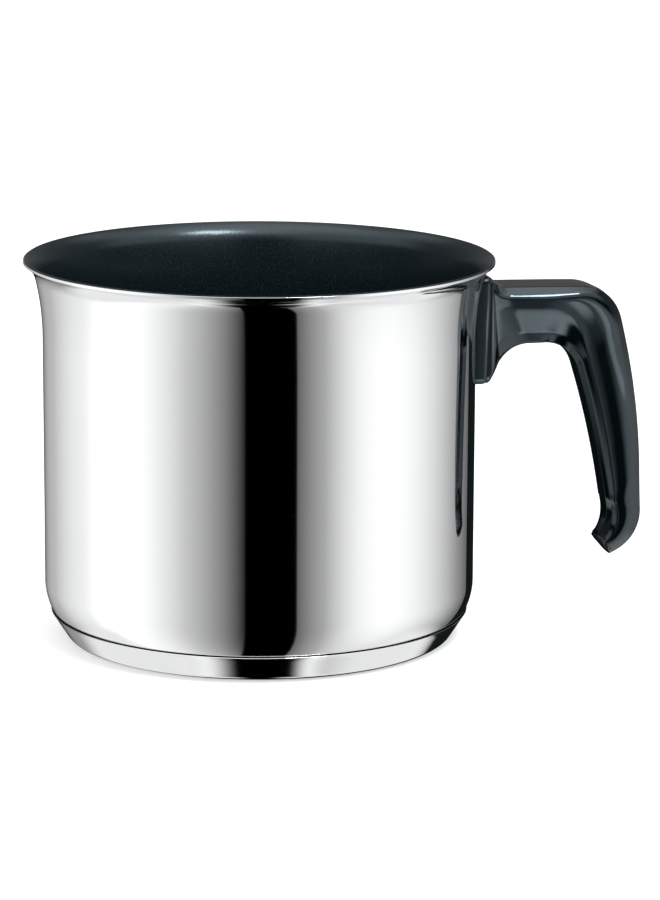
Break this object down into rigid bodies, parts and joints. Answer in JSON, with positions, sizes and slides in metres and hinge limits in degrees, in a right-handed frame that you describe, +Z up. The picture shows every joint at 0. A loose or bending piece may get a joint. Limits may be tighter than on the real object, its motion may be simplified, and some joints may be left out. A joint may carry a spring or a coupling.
{
  "type": "milk pan",
  "caption": "Tall polished steel milk pan with a flared pouring rim, dark non-stick lining, encapsulated base and a black bent side handle.",
  "frame": {"origin": "centre of the foot's underside, on the surface that the pan stands on", "axes": "+Z up along the pot's axis, +X from the pot's axis through the handle"},
  "size_m": [0.2047, 0.152, 0.1242],
  "materials": {
    "polished_steel": "mirror polished stainless steel",
    "nonstick": "satin non-stick coating with a fine grain",
    "aluminium_core": "rolled, hidden",
    "base_steel": "polished side, turned underside",
    "phenolic": "glossy black moulding",
    "bracket_steel": "stamped, dull",
    "fastener_steel": "zinc plated"
  },
  "bodies": {
    "root": {"pan_body": "polished_steel", "nonstick_coating": "nonstick", "base_core": "aluminium_core", "base_capsule": "base_steel", "handle": "phenolic", "handle_bracket": "bracket_steel", "handle_screw": "fastener_steel", "lock_washer": "fastener_steel"}
  },
  "joints": []
}
